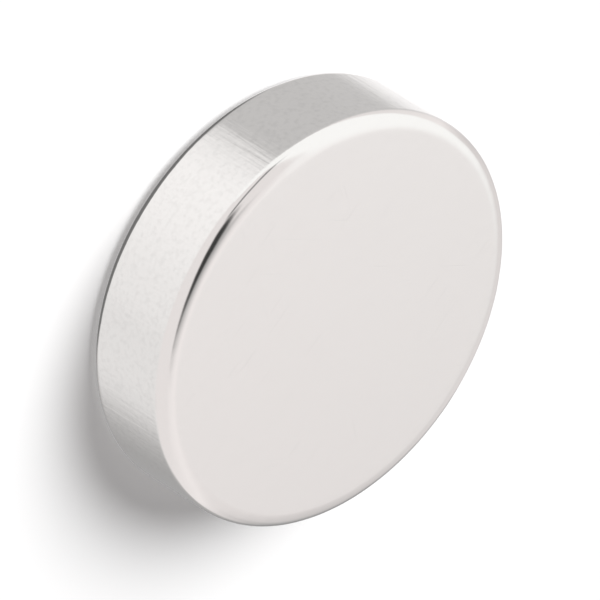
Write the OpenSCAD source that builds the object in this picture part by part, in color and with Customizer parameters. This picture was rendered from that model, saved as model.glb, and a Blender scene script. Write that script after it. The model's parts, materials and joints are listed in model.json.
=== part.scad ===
/* [Disc] */
// Diameter over the plated rim
disc_d = 12; // [4:0.5:40]
// Thickness over the two plated pole faces
disc_t = 3; // [1.5:0.5:20]

/* [Worn edges] */
// Radius of the tight turn between the rim and each pole face
turn_r = 0.3; // [0.1:0.05:0.6]
// Radius of the shallow roll-off that eases the turn into the pole face
roll_r = 1.2; // [0.8:0.1:3]
// How far the surface has tipped where the roll-off hands over to the turn, in degrees
roll_angle = 12; // [4:1:20]

/* [Hidden] */

disc_r = disc_d / 2;

// Tumbling wears each edge into two arcs that share a tangent at the handover
roll_reach = roll_r * sin(roll_angle);
roll_drop = roll_r * (1 - cos(roll_angle));
turn_reach = turn_r * (1 - sin(roll_angle));
turn_drop = turn_r * cos(roll_angle);

// The turn stands proud of the roll-off by this hair, so that the arcs cross there instead of only touching
crossing = 0.0003;

// The pole face is flat up to this radius, and the rim is straight up to this height
flat_r = disc_r - roll_reach - turn_reach;
straight_top = disc_t - roll_drop - turn_drop + crossing;

$fn = 128;

// Half section of the metal under the flat faces and behind the straight rim
module core_section() {
    square([flat_r, disc_t]);
    translate([0, disc_t - straight_top]) square([disc_r, 2 * straight_top - disc_t]);
}

// Half section of the worn edge at the upper pole face: the turn, and the part of the roll-off above it
module edge_section() {
    translate([disc_r - turn_r, straight_top]) circle(turn_r);
    intersection() {
        translate([flat_r, disc_t - roll_r]) circle(roll_r);
        translate([flat_r, disc_t / 2]) square([roll_reach, disc_t / 2]);
    }
}

// One solid disc, pressed, ground and plated as a single piece, with the same worn edge at both pole faces
module disc_magnet() {
    color("silver") rotate_extrude() {
        core_section();
        edge_section();
        translate([0, disc_t]) mirror([0, 1]) edge_section();
    }
}

disc_magnet();
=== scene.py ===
"""Looks of one disc magnet: the nickel-plated disc, and the white studio that it lies in."""
import json
import math
from collections import namedtuple

import bmesh
import bpy
from bpy.props import FloatProperty, FloatVectorProperty, IntProperty, PointerProperty
from mathutils import Matrix, Vector, noise


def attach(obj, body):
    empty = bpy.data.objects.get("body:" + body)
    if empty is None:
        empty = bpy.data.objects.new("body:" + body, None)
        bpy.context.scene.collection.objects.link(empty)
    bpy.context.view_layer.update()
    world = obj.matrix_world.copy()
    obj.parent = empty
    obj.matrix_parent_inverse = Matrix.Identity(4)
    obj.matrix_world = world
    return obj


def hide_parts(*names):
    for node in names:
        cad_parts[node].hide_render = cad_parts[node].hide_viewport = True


bl_info = {
    "name": "Disc magnet",
    "version": (1, 0, 0),
    "blender": (4, 5, 0),
    "location": "3D View > Sidebar > Magnet",
    "description": "Plates a packed disc magnet in bright nickel, and sets up the studio to see it in",
    "category": "Add Mesh",
}

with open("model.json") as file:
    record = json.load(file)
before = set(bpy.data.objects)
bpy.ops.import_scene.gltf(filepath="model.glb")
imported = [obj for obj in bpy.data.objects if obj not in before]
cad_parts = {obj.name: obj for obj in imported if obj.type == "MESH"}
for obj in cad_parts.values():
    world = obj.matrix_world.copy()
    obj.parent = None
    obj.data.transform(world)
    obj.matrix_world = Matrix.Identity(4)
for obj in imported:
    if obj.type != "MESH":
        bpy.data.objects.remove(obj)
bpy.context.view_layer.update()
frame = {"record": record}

MM = 0.001

# Side of the square picture, in pixels
FRAME_PX = 600

# Radius, thickness and mid height of the disc, from its mounts
MOUNTS = {mount["name"]: mount for mount in frame["record"]["mounts"]}
DISC_R = MOUNTS["rim"]["dims"]["r_mm"] * MM
DISC_T = MOUNTS["upper_face"]["pos_m"][2]
MID_Z = DISC_T / 2


class MagnetWear(bpy.types.PropertyGroup):
    """The form of the pole faces and of the worn edges, whose turn and roll-off are those of the solid"""
    turn_r: FloatProperty(
        name="Turn radius",
        description="Radius of the tight turn between the rim and each pole face",
        default=0.3 * MM, min=0.05 * MM, precision=5, unit="LENGTH")
    roll_r: FloatProperty(
        name="Roll-off radius",
        description="Radius of the shallow roll-off that eases the turn into the pole face",
        default=1.2 * MM, min=0.5 * MM, precision=5, unit="LENGTH")
    roll_angle: FloatProperty(
        name="Roll-off angle",
        description="How far the surface has tipped where the roll-off hands over to the turn",
        default=math.radians(12), min=math.radians(2), max=math.radians(30), unit="ROTATION")
    ripple: FloatProperty(
        name="Edge ripple",
        description="How far the worn edges wander from a true round",
        default=0.004 * MM, min=0, precision=6, unit="LENGTH")
    ripple_size: FloatProperty(
        name="Ripple size",
        description="Length of one ripple along the edge",
        default=1.4 * MM, min=0.1 * MM, precision=5, unit="LENGTH")
    crown: FloatProperty(
        name="Crown",
        description="How much lower a pole face lies at its edge than at its centre",
        default=0.055 * MM, min=0, max=0.1 * MM, precision=6, unit="LENGTH")
    around: IntProperty(
        name="Steps around",
        description="Number of steps in one full turn of the disc",
        default=448, min=64, max=1024)


class MagnetPlate(bpy.types.PropertyGroup):
    """The finish of the nickel plate"""
    colour: FloatVectorProperty(
        name="Nickel",
        description="Colour of the clean plate",
        default=(0.86, 0.85, 0.832), min=0, max=1, size=3, subtype="COLOR")
    glance: FloatProperty(
        name="Glancing tone",
        description="Nickel's dip in brightness at glancing angles, where 1 is no dip",
        default=0.82, min=0, max=1, subtype="FACTOR")
    face_roughness: FloatProperty(
        name="Face roughness",
        description="Roughness of the ground pole faces under the plate",
        default=0.24, min=0, max=1, subtype="FACTOR")
    rim_roughness: FloatProperty(
        name="Rim roughness",
        description="Roughness of the pressed rim under the plate",
        default=0.13, min=0, max=1, subtype="FACTOR")
    edge_roughness: FloatProperty(
        name="Edge roughness",
        description="Roughness of the worn edges, which tumbling leaves the brightest",
        default=0.1, min=0, max=1, subtype="FACTOR")
    grain_size: FloatProperty(
        name="Grain size",
        description="Size of the fine grain in the plate",
        default=0.09 * MM, min=0.01 * MM, precision=5, unit="LENGTH")
    grain_height: FloatProperty(
        name="Grain height",
        description="Height of the fine grain",
        default=0.0014 * MM, min=0, precision=8, unit="LENGTH")
    pore_size: FloatProperty(
        name="Pore size",
        description="Size of the fine pores that dull the plate, most of all on the rim",
        default=0.15 * MM, min=0.01 * MM, precision=5, unit="LENGTH")
    pore_dulling: FloatProperty(
        name="Pore dulling",
        description="How much a pore darkens the plate",
        default=0.06, min=0, max=1, subtype="FACTOR")
    line_spacing: FloatProperty(
        name="Draw line spacing",
        description="Spacing of the lines that the press die draws down the rim",
        default=0.11 * MM, min=0.01 * MM, precision=5, unit="LENGTH")
    line_height: FloatProperty(
        name="Draw line height",
        description="Height of the draw lines",
        default=0.0055 * MM, min=0, precision=8, unit="LENGTH")
    wave_size: FloatProperty(
        name="Wave size",
        description="Size of the slow waves in the plate",
        default=0.5 * MM, min=0.05 * MM, precision=5, unit="LENGTH")
    wave_height: FloatProperty(
        name="Wave height",
        description="Height of the slow waves in the plate",
        default=0.002 * MM, min=0, precision=8, unit="LENGTH")
    scratch_width: FloatProperty(
        name="Scratch width",
        description="Width of the hairline scratches on the pole faces",
        default=0.05 * MM, min=0.01 * MM, precision=5, unit="LENGTH")
    scratch_depth: FloatProperty(
        name="Scratch depth",
        description="Depth of the hairline scratches",
        default=0.0008 * MM, min=0, precision=8, unit="LENGTH")


class MagnetStudio(bpy.types.PropertyGroup):
    """The camera, the floor and the light"""
    elevation: FloatProperty(
        name="Elevation",
        description="Angle of the line of sight above the pole face",
        default=math.radians(39.2), unit="ROTATION")
    roll: FloatProperty(
        name="Roll",
        description="Turn of the camera about its line of sight, which tips the disc's axis in the picture",
        default=math.radians(122.1), unit="ROTATION")
    distance: FloatProperty(
        name="Distance",
        description="Distance from the camera to the middle of the disc",
        default=0.538, min=0.05, unit="LENGTH")
    focal_px: FloatProperty(
        name="Focal length",
        description="Focal length in pixels of the picture, before it is magnified",
        default=6830, min=100)
    magnification: FloatProperty(
        name="Magnification",
        description="How much the picture is magnified, so that the disc fills it",
        default=3.0, min=0.5)
    floor_glow: FloatProperty(
        name="Floor glow",
        description="Share of the floor's white that doesn't depend on the lamp",
        default=0.14, min=0, max=1, subtype="FACTOR")
    floor_tone: FloatProperty(
        name="Floor tone",
        description="Paleness of the floor's own colour",
        default=0.8, min=0, max=1, subtype="FACTOR")
    key_strength: FloatProperty(
        name="Key strength",
        description="Strength of the soft key lamp",
        default=3.8, min=0)
    key_bearing: FloatProperty(
        name="Key bearing",
        description="Bearing of the key lamp, clockwise from the camera",
        default=math.radians(79), unit="ROTATION")
    key_elevation: FloatProperty(
        name="Key elevation",
        description="Height of the key lamp above the horizon",
        default=math.radians(51), unit="ROTATION")
    key_spread: FloatProperty(
        name="Key spread",
        description="Angle that the key lamp fills, which sets how soft the shadow is",
        default=math.radians(46), unit="ROTATION")
    ceiling: FloatVectorProperty(
        name="Ceiling",
        description="Colour of the pale ceiling that the upper face mirrors",
        default=(0.917, 0.876, 0.877), min=0, max=2, size=3, subtype="COLOR")
    wall_tint: FloatVectorProperty(
        name="Wall tint",
        description="Tint of the walls that the rim mirrors",
        default=(1.012, 0.997, 1.0), min=0, max=2, size=3, subtype="COLOR")
    soft_box: FloatProperty(
        name="Soft box tone",
        description="Brightness of the large soft box on the left",
        default=1.1, min=0)
    opening: FloatProperty(
        name="Opening tone",
        description="Brightness of the dark opening near the zenith",
        default=0.05, min=0)
    haze: FloatProperty(
        name="Haze tone",
        description="Brightness of the haze round the zenith",
        default=0.3, min=0)
    seam: FloatProperty(
        name="Seam tone",
        description="Brightness of the thin seam between the soft box and the opening",
        default=0.28, min=0)
    behind: FloatProperty(
        name="Back tone",
        description="Brightness low behind the disc, where its far edge mirrors its own shade",
        default=0.4, min=0)
    # Painted shade: the dark tone straight below the disc stands in for the floor's shade under it, which
    # the nickel doesn't mirror
    underside_shade: FloatProperty(
        name="Underside tone",
        description="Brightness straight below the disc",
        default=0.2, min=0)
    fill: FloatProperty(
        name="Fill",
        description="Share of the studio walls' light that reaches the floor",
        default=0.2, min=0, max=1, subtype="FACTOR")


class Wire:
    """A shader socket's output. Sums on wires and numbers add the Math nodes that work them out."""

    def __init__(self, shader, socket):
        self.shader = shader
        self.socket = socket

    def pick(self, output):
        """Another output of the same node."""
        return Wire(self.shader, self.socket.node.outputs[output])

    def math(self, operation, *values):
        """A Math node on wires and numbers."""
        return self.shader.node("Math", {"operation": operation}, dict(enumerate(values)))

    def __add__(self, other):
        return self.math("ADD", self, other)

    def __radd__(self, other):
        return self.math("ADD", other, self)

    def __sub__(self, other):
        return self.math("SUBTRACT", self, other)

    def __rsub__(self, other):
        return self.math("SUBTRACT", other, self)

    def __mul__(self, other):
        return self.math("MULTIPLY", self, other)

    def __rmul__(self, other):
        return self.math("MULTIPLY", other, self)

    def __truediv__(self, other):
        return self.math("DIVIDE", self, other)

    def __rtruediv__(self, other):
        return self.math("DIVIDE", other, self)

    def __neg__(self):
        return self.math("MULTIPLY", self, -1)

    def __abs__(self):
        return self.math("ABSOLUTE", self)


class Shader:
    """A node tree that is being wired up."""

    def __init__(self, owner):
        owner.use_nodes = True
        self.tree = owner.node_tree
        self.tree.nodes.clear()

    def node(self, kind, settings=None, inputs=None, output=0):
        """Adds one node and returns an output of it. The setting stops gives a ramp's {position: colour}."""
        made = self.tree.nodes.new("ShaderNode" + kind)
        for name, value in (settings or {}).items():
            if name == "stops":
                self.set_stops(made.color_ramp.elements, value)
            else:
                setattr(made, name, value)
        for name, value in (inputs or {}).items():
            if isinstance(value, Wire):
                self.tree.links.new(value.socket, made.inputs[name])
            else:
                made.inputs[name].default_value = value
        return Wire(self, made.outputs[output]) if made.outputs else None

    @staticmethod
    def set_stops(elements, stops):
        """Gives a ramp its own stops in place of the two that it starts with."""
        while len(elements) > 1:
            elements.remove(elements[-1])
        for count, (position, colour) in enumerate(stops.items()):
            stop = elements.new(position) if count else elements[0]
            stop.position = position
            stop.color = opaque(colour)

    def step(self, value, low, high):
        """A smooth step from 0 where value is at low to 1 where it is at high, which may be the lesser."""
        return self.node("MapRange", {"interpolation_type": "SMOOTHSTEP"}, {0: value, 1: low, 2: high})

    def noise(self, place, size, detail=2.0, roughness=0.5):
        """Noise from 0 to 1 about as large as size, in the units of place."""
        inputs = {"Vector": place, "Scale": 1 / size, "Detail": detail, "Roughness": roughness}
        return self.node("TexNoise", None, inputs)

    def mix(self, factor, first, second):
        """A colour on the way from first to second, each a wire or a plain colour."""
        ends = [end if isinstance(end, Wire) else opaque(end) for end in (first, second)]
        return self.node("Mix", {"data_type": "RGBA"}, {0: factor, 6: ends[0], 7: ends[1]}, output=2)

    def vector(self, operation, *values, output=0):
        """A Vector Math node on wires and plain vectors."""
        return self.node("VectorMath", {"operation": operation}, dict(enumerate(values)), output)


def grey(tone):
    """A colour without a tint."""
    return (tone, tone, tone)


def opaque(colour):
    """A colour with the fourth number that sockets and ramps want."""
    return (*colour, 1)


def toned(colour, share):
    """A colour made darker or brighter."""
    return tuple(share * part for part in colour)


def flat_radius(wear):
    """Radius of the part of a pole face that lies inside its worn edge."""
    return DISC_R - wear.roll_r * math.sin(wear.roll_angle) - wear.turn_r * (1 - math.sin(wear.roll_angle))


def straight_height(wear):
    """Height at which the straight part of the rim ends."""
    rounded = wear.roll_r * (1 - math.cos(wear.roll_angle)) + wear.turn_r * math.cos(wear.roll_angle)
    return DISC_T - wear.crown - rounded


# How far a zone of the plate fades before and past its border, in millimetres
FACE_FADE = (0.1, 0.15)
RIM_FADE = (0.05, 0.1)

# The plate's tone and roughness drift a little in clouds of this size in millimetres
CLOUD_SIZE = 2.5
CLOUD_DULLING = 0.1
CLOUD_ROUGHNESS = 0.03

# Share of the grain that tumbling has worn off the edges
GRAIN_WORN = 0.85

# Length of a draw line, as a multiple of its width
LINE_STRETCH = 20

# A pore sets in and is full between these values of its noise. The faces have a share of the rim's pores.
PORE_NOISE = (0.42, 0.75)
FACE_PORES = 0.15

# A scratch sets in and is full between these values of its noise. Scratches run in a few directions, in
# radians, are many times as long as wide, and dull the plate by a share of what a pore does.
SCRATCH_NOISE = (0.78, 0.84)
SCRATCH_TURNS = (0.4, 1.5, 2.6)
SCRATCH_STRETCH = 30
SCRATCH_DULLING = 0.3

# Each direction of scratches takes another part of the noise, this far along x from the last, and from y = 0
SCRATCH_SHIFT = (3.1, 1.7)


def plate_zones(shader, place, wear):
    """Masks of all that lies off the pole faces, of the straight rim and of the worn edges."""
    height = shader.node("SeparateXYZ", inputs={0: place}, output="Z")
    radius = shader.vector("LENGTH", shader.vector("MULTIPLY", place, (1, 1, 0)), output="Value")
    flat = flat_radius(wear) / MM
    straight = (straight_height(wear) - MID_Z) / MM
    off_face = shader.step(radius, flat - FACE_FADE[0], flat + FACE_FADE[1])
    off_rim = shader.step(abs(height - MID_Z / MM), straight - RIM_FADE[0], straight + RIM_FADE[1])
    return off_face, off_face * (1 - off_rim), off_face * off_rim


def hairlines(shader, place, width):
    """Mask of sparse fine scratches in a few directions, which is 1 in a scratch."""
    sets = []
    for count, turn in enumerate(SCRATCH_TURNS):
        drawn = shader.node("Mapping", {"vector_type": "TEXTURE"}, {
            "Vector": place,
            "Location": (SCRATCH_SHIFT[0] * count, SCRATCH_SHIFT[1], 0),
            "Rotation": (0, 0, turn),
            "Scale": (1, SCRATCH_STRETCH, 1),
        })
        sets.append(shader.step(shader.noise(drawn, width, detail=0), *SCRATCH_NOISE))
    return sum(sets)


def nickel_plate(plate, wear):
    """Bright nickel over a tumbled disc: satin ground faces, draw lines on the rim and bright worn edges."""
    material = bpy.data.materials.new("bright_nickel_plate")
    shader = Shader(material)
    metres = shader.node("TexCoord", output="Object")
    place = shader.node("VectorMath", {"operation": "SCALE"}, {0: metres, "Scale": 1 / MM})
    off_face, rim, edge = plate_zones(shader, place, wear)
    scratches = hairlines(shader, place, plate.scratch_width / MM) * (1 - off_face)
    cloud = shader.noise(place, CLOUD_SIZE, detail=3)

    grain = shader.noise(place, plate.grain_size / MM, detail=3, roughness=0.6)
    drawn = shader.vector("MULTIPLY", place, (1, 1, 1 / LINE_STRETCH))
    lines = shader.noise(drawn, plate.line_spacing / MM) * rim
    waves = shader.noise(place, plate.wave_size / MM)
    relief = grain * (plate.grain_height / MM) * (1 - edge * GRAIN_WORN) + lines * (plate.line_height / MM)
    relief = relief + waves * (plate.wave_height / MM)
    relief = relief - scratches * (plate.scratch_depth / MM)
    bump = shader.node("Bump", inputs={"Height": relief, "Distance": MM, "Strength": 1.0})

    roughness = plate.face_roughness + rim * (plate.rim_roughness - plate.face_roughness)
    roughness = roughness + edge * (plate.edge_roughness - plate.face_roughness)

    pores = shader.step(shader.noise(place, plate.pore_size / MM, detail=3), *PORE_NOISE)
    pores = pores * (rim * (1 - FACE_PORES) + FACE_PORES)
    dulling = pores + scratches * SCRATCH_DULLING + cloud * CLOUD_DULLING
    surface = shader.node("BsdfPrincipled", inputs={
        "Base Color": shader.mix(dulling, plate.colour, toned(plate.colour, 1 - plate.pore_dulling)),
        "Metallic": 1.0,
        "Roughness": roughness + (cloud - 0.5) * CLOUD_ROUGHNESS,
        "Specular Tint": opaque(grey(plate.glance)),
        "Normal": bump,
    })
    shader.node("OutputMaterial", inputs={"Surface": surface})
    return material


# Rings of a pole face from its centre to its worn edge, as shares of the radius inside that edge
FACE_RINGS = (0.15, 0.3, 0.45, 0.6, 0.75, 0.86, 0.95, 1)

# Steps in the two arcs of the worn edge
ROLL_STEPS = 6
TURN_STEPS = 18

# Rings of the rim that lie close to the worn edge, as drops from it
RIM_RINGS = (0.05 * MM, 0.2 * MM)

# Points closer than this become one, where the two halves meet and then where the spin closes
MIRROR_WELD = 0.001 * MM
SPIN_WELD = 0.0001 * MM

# Mean wear of the edges and the height of its short swells, as multiples of the ripple
MEAN_WEAR = 0.6
SHORT_SWELL = 0.4

# How many short swells go to a long one
SHORT_SCALE = 3.7

# On the rim's side the wear sets in over this share of the turn's radius
RIM_ONSET = 0.3


def extend(bm, vert, target):
    """Draws an edge of the profile from vert to target, and returns its new end."""
    made = bmesh.ops.extrude_vert_indiv(bm, verts=[vert])["verts"][0]
    made.co = target
    return made


def sweep(bm, vert, centre, angle, steps):
    """Draws an arc of the profile from vert about centre, turning outwards, and returns its new end."""
    done = bmesh.ops.spin(
        bm, geom=[vert], cent=centre, axis=(0, 1, 0), dvec=(0, 0, 0), angle=angle, steps=steps,
        use_merge=False, use_normal_flip=False, use_duplicate=False)
    return next(part for part in done["geom_last"] if isinstance(part, bmesh.types.BMVert))


def draw_upper_profile(bm, wear):
    """Half section of the upper half: out over the pole face, round the worn edge and down to mid rim."""
    flat = flat_radius(wear)
    straight = straight_height(wear)
    half_rim = straight - MID_Z
    end = bm.verts.new((0, 0, DISC_T))
    for share in FACE_RINGS:
        end = extend(bm, end, (share * flat, 0, DISC_T - wear.crown * share ** 2))
    end = sweep(bm, end, (flat, 0, DISC_T - wear.crown - wear.roll_r), wear.roll_angle, ROLL_STEPS)
    end = sweep(bm, end, (DISC_R - wear.turn_r, 0, straight), math.pi / 2 - wear.roll_angle, TURN_STEPS)
    for drop in (*RIM_RINGS, half_rim / 2, half_rim):
        end = extend(bm, end, (DISC_R, 0, straight - drop))


def spin_disc(bm, wear):
    """The whole disc, spun from its half section."""
    draw_upper_profile(bm, wear)
    bmesh.ops.mirror(
        bm, geom=bm.verts[:] + bm.edges[:], matrix=Matrix.Translation((0, 0, -MID_Z)),
        merge_dist=MIRROR_WELD, axis="Z")
    bmesh.ops.spin(
        bm, geom=bm.verts[:] + bm.edges[:], cent=(0, 0, 0), axis=(0, 0, 1), dvec=(0, 0, 0),
        angle=math.tau, steps=wear.around, use_merge=True, use_normal_flip=False, use_duplicate=False)
    bmesh.ops.remove_doubles(bm, verts=bm.verts[:], dist=SPIN_WELD)
    bmesh.ops.recalc_face_normals(bm, faces=bm.faces[:])


def wear_edges(bm, wear):
    """Moves the worn edges inwards by a hair, more in some places than in others."""
    flat = flat_radius(wear)
    straight = straight_height(wear) - MID_Z
    for vert in bm.verts:
        out = vert.co.xy.length
        up = vert.co.z - MID_Z
        if out < flat or abs(up) < straight:
            continue
        inwards = Vector((-vert.co.x, -vert.co.y, -math.copysign(out, up))).normalized()
        on_edge = min(1, (out - flat) / wear.turn_r, (abs(up) - straight) / (RIM_ONSET * wear.turn_r))
        place = vert.co / wear.ripple_size
        swell = noise.noise(place) + SHORT_SWELL * noise.noise(place * SHORT_SCALE)
        vert.co += inwards * wear.ripple * on_edge * (MEAN_WEAR + swell)


class MAGNET_OT_plated_disc(bpy.types.Operator):
    """Makes the nickel-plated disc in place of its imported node"""
    bl_idname = "magnet.plated_disc"
    bl_label = "Plated disc"
    bl_options = {"REGISTER", "UNDO"}

    def execute(self, context):
        wear = context.scene.magnet_wear
        bm = bmesh.new()
        spin_disc(bm, wear)
        wear_edges(bm, wear)
        if any(len(edge.link_faces) != 2 for edge in bm.edges):
            raise RuntimeError("the plated disc isn't closed")
        mesh = bpy.data.meshes.new("plated_disc")
        bm.to_mesh(mesh)
        bm.free()
        mesh.shade_smooth()
        mesh.materials.append(nickel_plate(context.scene.magnet_plate, wear))
        disc = bpy.data.objects.new("plated_disc", mesh)
        context.scene.collection.objects.link(disc)
        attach(disc, "root")
        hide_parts("disc_magnet")
        return {"FINISHED"}


# The studio is a sky of tones that the nickel mirrors. The x of a direction points right for an upright
# camera, its y away from the camera and its z up. The plan is a map of this sky from above: the zenith is at
# its centre, and the horizon is a circle of radius 1. A pair of numbers is a soft border, from where it
# starts to where it is done.

# Where the walls give way to the ceiling, how much higher that is at the back on the right, and how far
# round from the camera it rises
WALL_TOP = (-0.6, -0.3)
WALL_RISE = 0.36
RISE_BEARING = (math.radians(105), math.radians(150))

# How far below the horizon the walls give way to the painted shade below, which stands in for the shaded
# floor under the disc
UNDERSIDE_SHADE_DROP = (0.8, 0.9)

# Shade low behind the disc: its left and right ends, how far back it starts, and its top
BACK_LEFT = (-0.02, 0.16)
BACK_RIGHT = (0.35, 0.6)
BACK_START = (0.7, 0.9)
BACK_TOP = (-0.2, 0.75)

# Soft box: a place on its side edge, the slant of that edge, and how far right of it the foot reaches
BOX_SIDE = (-0.25, 0.035)
BOX_TURN = math.radians(58.6)
BOX_BORDER = (0.038, -0.012)
BOX_FOOT = 0.45
BOX_FOOT_TOP = (-0.3, -0.1)

# Its lower edge slopes down towards the camera as far as a level bottom, and it ends near the middle
BOX_SLOPE = 0.8
BOX_LOWER = (-0.33, -0.08)
BOX_BOTTOM = (-0.62, -0.55)
BOX_END = (-0.1, 0.23)

# Seam: its left and right ends, its line across the plan, half its width, and its bottom
SEAM_LEFT = (-0.75, -0.55)
SEAM_RIGHT = (-0.2, -0.12)
SEAM_LINE = -0.61
SEAM_WIDTH = (0.02, 0.14)
SEAM_BOTTOM = (-0.5, -0.4)

# Oval patches of the plan. The length and width are half axes, and the border is in squares of them.
Patch = namedtuple("Patch", "centre turn length width border")
OPENING = Patch(centre=(0.005, -0.235), turn=math.radians(68), length=0.37, width=0.12, border=(0.15, 1.5))
HAZE = Patch(centre=(0.045, 0.03), turn=math.radians(90), length=0.26, width=0.115, border=(0, 1.6))

# How much the haze covers at its densest
HAZE_COVER = 0.75


def wall_stops(studio):
    """Colour of the walls by bearing, in degrees clockwise from the camera, so that the left is positive."""
    tones = {
        # Shade at the back on the right
        -180: 0.46, -160: 0.5, -140: 0.485, -122: 0.565,
        # Pale wall on the right and towards the camera
        -101: 0.835, -88: 0.88, -62: 0.87, -54: 0.88, -48: 0.92, -30: 0.95, 0: 1.03, 25: 1.06, 41: 0.985,
        # Grey wall on the left
        50: 0.87, 59: 0.59, 70: 0.615, 100: 0.625, 132: 0.7,
        # White panel at the back on the left, as far as the shade
        150: 1.17, 168: 1.3, 176: 1.25, 180: 0.46,
    }
    return {bearing / 360 + 0.5: toned(studio.wall_tint, tone) for bearing, tone in tones.items()}


def ceiling_stops(studio):
    """Colour of the ceiling by how far a direction leans away from the camera: 0 is overhead, 1 level."""
    tones = {0.3: 0.98, 0.6: 1.04, 0.7: 1.08, 0.84: 0.85, 0.95: 0.93}
    return {lean: toned(studio.ceiling, tone) for lean, tone in tones.items()}


def slanted(plan, centre, turn):
    """Places along and across a slanted axis through centre. Positive across is on its right."""
    off_x = plan[0] - centre[0]
    off_y = plan[1] - centre[1]
    along = off_x * math.cos(turn) + off_y * math.sin(turn)
    across = off_x * math.sin(turn) - off_y * math.cos(turn)
    return along, across


def oval(shader, plan, patch):
    """Mask of an oval patch of the plan."""
    along, across = slanted(plan, patch.centre, patch.turn)
    along = along / patch.length
    across = across / patch.width
    return 1 - shader.step(along * along + across * across, *patch.border)


def back_mask(shader, x, y, z):
    """Mask of the shade low behind the disc."""
    span = shader.step(x, *BACK_LEFT) * (1 - shader.step(x, *BACK_RIGHT))
    return span * shader.step(y, *BACK_START) * (1 - shader.step(z, *BACK_TOP))


def soft_box_mask(shader, x, y, z, plan):
    """Mask of the large soft box on the left."""
    foot = 1 - shader.step(z, *BOX_FOOT_TOP)
    beside = shader.step(slanted(plan, BOX_SIDE, BOX_TURN)[1] - foot * BOX_FOOT, *BOX_BORDER)
    above = shader.step(z - y * BOX_SLOPE, *BOX_LOWER) * shader.step(z, *BOX_BOTTOM)
    return beside * above * shader.step(-x, *BOX_END)


def seam_mask(shader, z, plan):
    """Mask of the thin dark seam from the low end of the opening to the soft box."""
    span = shader.step(plan[0], *SEAM_LEFT) * (1 - shader.step(plan[0], *SEAM_RIGHT))
    line = 1 - shader.step(abs(plan[1] - SEAM_LINE), *SEAM_WIDTH)
    return span * line * shader.step(z, *SEAM_BOTTOM)


def studio_tone(shader, studio):
    """What the nickel mirrors in each direction."""
    x = shader.node("SeparateXYZ", inputs={0: shader.node("TexCoord", output="Generated")})
    y = x.pick("Y")
    z = x.pick("Z")
    plan = (x / (1 + z), y / (1 + z))
    bearing = shader.node("Math", {"operation": "ARCTAN2"}, {0: -x, 1: -y})
    walls = shader.node("ValToRGB", {"stops": wall_stops(studio)}, {0: bearing / math.tau + 0.5})
    ceiling = shader.node("ValToRGB", {"stops": ceiling_stops(studio)}, {0: y})
    rise = shader.step(-bearing, *RISE_BEARING) * WALL_RISE
    tone = shader.mix(shader.step(z - rise, *WALL_TOP), walls, ceiling)
    tone = shader.mix(back_mask(shader, x, y, z), tone, grey(studio.behind))
    tone = shader.mix(soft_box_mask(shader, x, y, z, plan), tone, grey(studio.soft_box))
    tone = shader.mix(oval(shader, plan, HAZE) * HAZE_COVER, tone, grey(studio.haze))
    tone = shader.mix(seam_mask(shader, z, plan), tone, grey(studio.seam))
    tone = shader.mix(oval(shader, plan, OPENING), tone, grey(studio.opening))
    # Painted shade straight below, in place of the floor's shade under the disc
    return shader.mix(shader.step(-z, *UNDERSIDE_SHADE_DROP), tone, grey(studio.underside_shade))


def studio_world(studio):
    """White to the camera, the studio's tones to the nickel, and a little of their light to the floor."""
    world = bpy.data.worlds.new("studio_world")
    shader = Shader(world)
    path = shader.node("LightPath")
    dimmed = 1 - path.pick("Is Diffuse Ray") * (1 - studio.fill)
    mirrored = shader.node("Background", inputs={"Color": studio_tone(shader, studio), "Strength": dimmed})
    white = shader.node("Background", inputs={"Color": opaque(grey(1)), "Strength": 1.0})
    seen = shader.node("MixShader", inputs={0: path.pick("Is Camera Ray"), 1: mirrored, 2: white})
    shader.node("OutputWorld", inputs={"Surface": seen})
    return world


def floor_paint(studio):
    """A pale floor whose white is partly its own glow to the camera, so that only the shadow shows on it."""
    material = bpy.data.materials.new("studio_floor")
    shader = Shader(material)
    diffuse = shader.node("BsdfDiffuse", inputs={"Color": opaque(grey(studio.floor_tone))})
    glow = shader.node("LightPath", output="Is Camera Ray") * studio.floor_glow
    emission = shader.node("Emission", inputs={"Color": opaque(grey(1)), "Strength": glow})
    both = shader.node("AddShader", inputs={0: diffuse, 1: emission})
    shader.node("OutputMaterial", inputs={"Surface": both})
    return material


# The floor reaches this far to each side, and lies a hair lower than the face that rests on it
FLOOR_REACH = 2.0
FLOOR_DROP = 0.01 * MM

# Width of the camera's sensor in millimetres, and how near it still sees in metres
SENSOR_WIDTH = 36
NEAR_LIMIT = 0.01


def lay_floor(context, studio):
    """A floor that the nickel doesn't mirror, because the studio's low tones stand in for it there, with
    painted shade straight below the disc.
    """
    bm = bmesh.new()
    bmesh.ops.create_grid(bm, x_segments=1, y_segments=1, size=FLOOR_REACH)
    bmesh.ops.translate(bm, verts=bm.verts[:], vec=(0, 0, -FLOOR_DROP))
    mesh = bpy.data.meshes.new("floor")
    bm.to_mesh(mesh)
    bm.free()
    mesh.materials.append(floor_paint(studio))
    floor = bpy.data.objects.new("floor", mesh)
    floor.visible_glossy = False
    context.scene.collection.objects.link(floor)


def bearing_vector(bearing, elevation):
    """Unit vector at a bearing, clockwise from the camera as seen from above, and an elevation."""
    level = math.cos(elevation)
    return Vector((-math.sin(bearing) * level, -math.cos(bearing) * level, math.sin(elevation)))


def hang_key(context, studio):
    """The key lamp, which casts the shadow and isn't mirrored."""
    lamp = bpy.data.lights.new("key", "SUN")
    lamp.energy = studio.key_strength
    lamp.angle = studio.key_spread
    key = bpy.data.objects.new("key", lamp)
    key.visible_glossy = False
    towards = bearing_vector(studio.key_bearing, studio.key_elevation)
    key.rotation_euler = towards.to_track_quat("Z", "Y").to_euler()
    context.scene.collection.objects.link(key)


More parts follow.
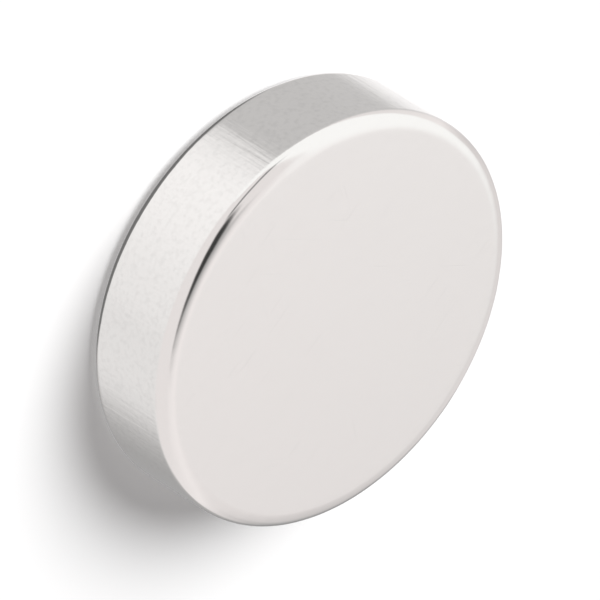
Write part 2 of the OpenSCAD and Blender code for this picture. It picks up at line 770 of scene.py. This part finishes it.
def aim_camera(context, studio):
    """A long lens on the middle of the disc."""
    lens = bpy.data.cameras.new("camera")
    lens.sensor_width = SENSOR_WIDTH
    lens.lens = studio.focal_px / FRAME_PX * SENSOR_WIDTH * studio.magnification
    lens.clip_start = NEAR_LIMIT
    camera = bpy.data.objects.new("camera", lens)
    back = bearing_vector(0, studio.elevation)
    place = Matrix.Translation(Vector((0, 0, MID_Z)) + back * studio.distance)
    upright = back.to_track_quat("Z", "Y").to_matrix().to_4x4()
    camera.matrix_world = place @ upright @ Matrix.Rotation(studio.roll, 4, "Z")
    context.scene.collection.objects.link(camera)
    context.scene.camera = camera


class MAGNET_OT_studio(bpy.types.Operator):
    """Lays the white floor, hangs the key lamp, sets the walls round it and aims the camera"""
    bl_idname = "magnet.studio"
    bl_label = "Studio"
    bl_options = {"REGISTER", "UNDO"}

    def execute(self, context):
        studio = context.scene.magnet_studio
        context.scene.world = studio_world(studio)
        context.scene.view_settings.view_transform = "Standard"
        lay_floor(context, studio)
        hang_key(context, studio)
        aim_camera(context, studio)
        return {"FINISHED"}


class MAGNET_PT_panel(bpy.types.Panel):
    """Lists the disc and its studio"""
    bl_label = "Disc magnet"
    bl_idname = "MAGNET_PT_panel"
    bl_space_type = "VIEW_3D"
    bl_region_type = "UI"
    bl_category = "Magnet"

    def draw(self, context):
        for operator, groups in BUILD_ORDER:
            self.layout.operator(operator)
            for group in groups:
                box = self.layout.box()
                settings = getattr(context.scene, group)
                for name in settings.__annotations__:
                    box.prop(settings, name)


GROUPS = {"magnet_wear": MagnetWear, "magnet_plate": MagnetPlate, "magnet_studio": MagnetStudio}
BUILD_ORDER = (
    ("magnet.plated_disc", ("magnet_wear", "magnet_plate")),
    ("magnet.studio", ("magnet_studio",)),
)
CLASSES = (*GROUPS.values(), MAGNET_OT_plated_disc, MAGNET_OT_studio, MAGNET_PT_panel)


def register():
    for cls in CLASSES:
        bpy.utils.register_class(cls)
    for name, group in GROUPS.items():
        setattr(bpy.types.Scene, name, PointerProperty(type=group))


def unregister():
    for name in GROUPS:
        delattr(bpy.types.Scene, name)
    for cls in reversed(CLASSES):
        bpy.utils.unregister_class(cls)


def main():
    """Makes the disc and its studio."""
    register()
    bpy.ops.magnet.plated_disc()
    bpy.ops.magnet.studio()


if __name__ == "__main__":
    main()
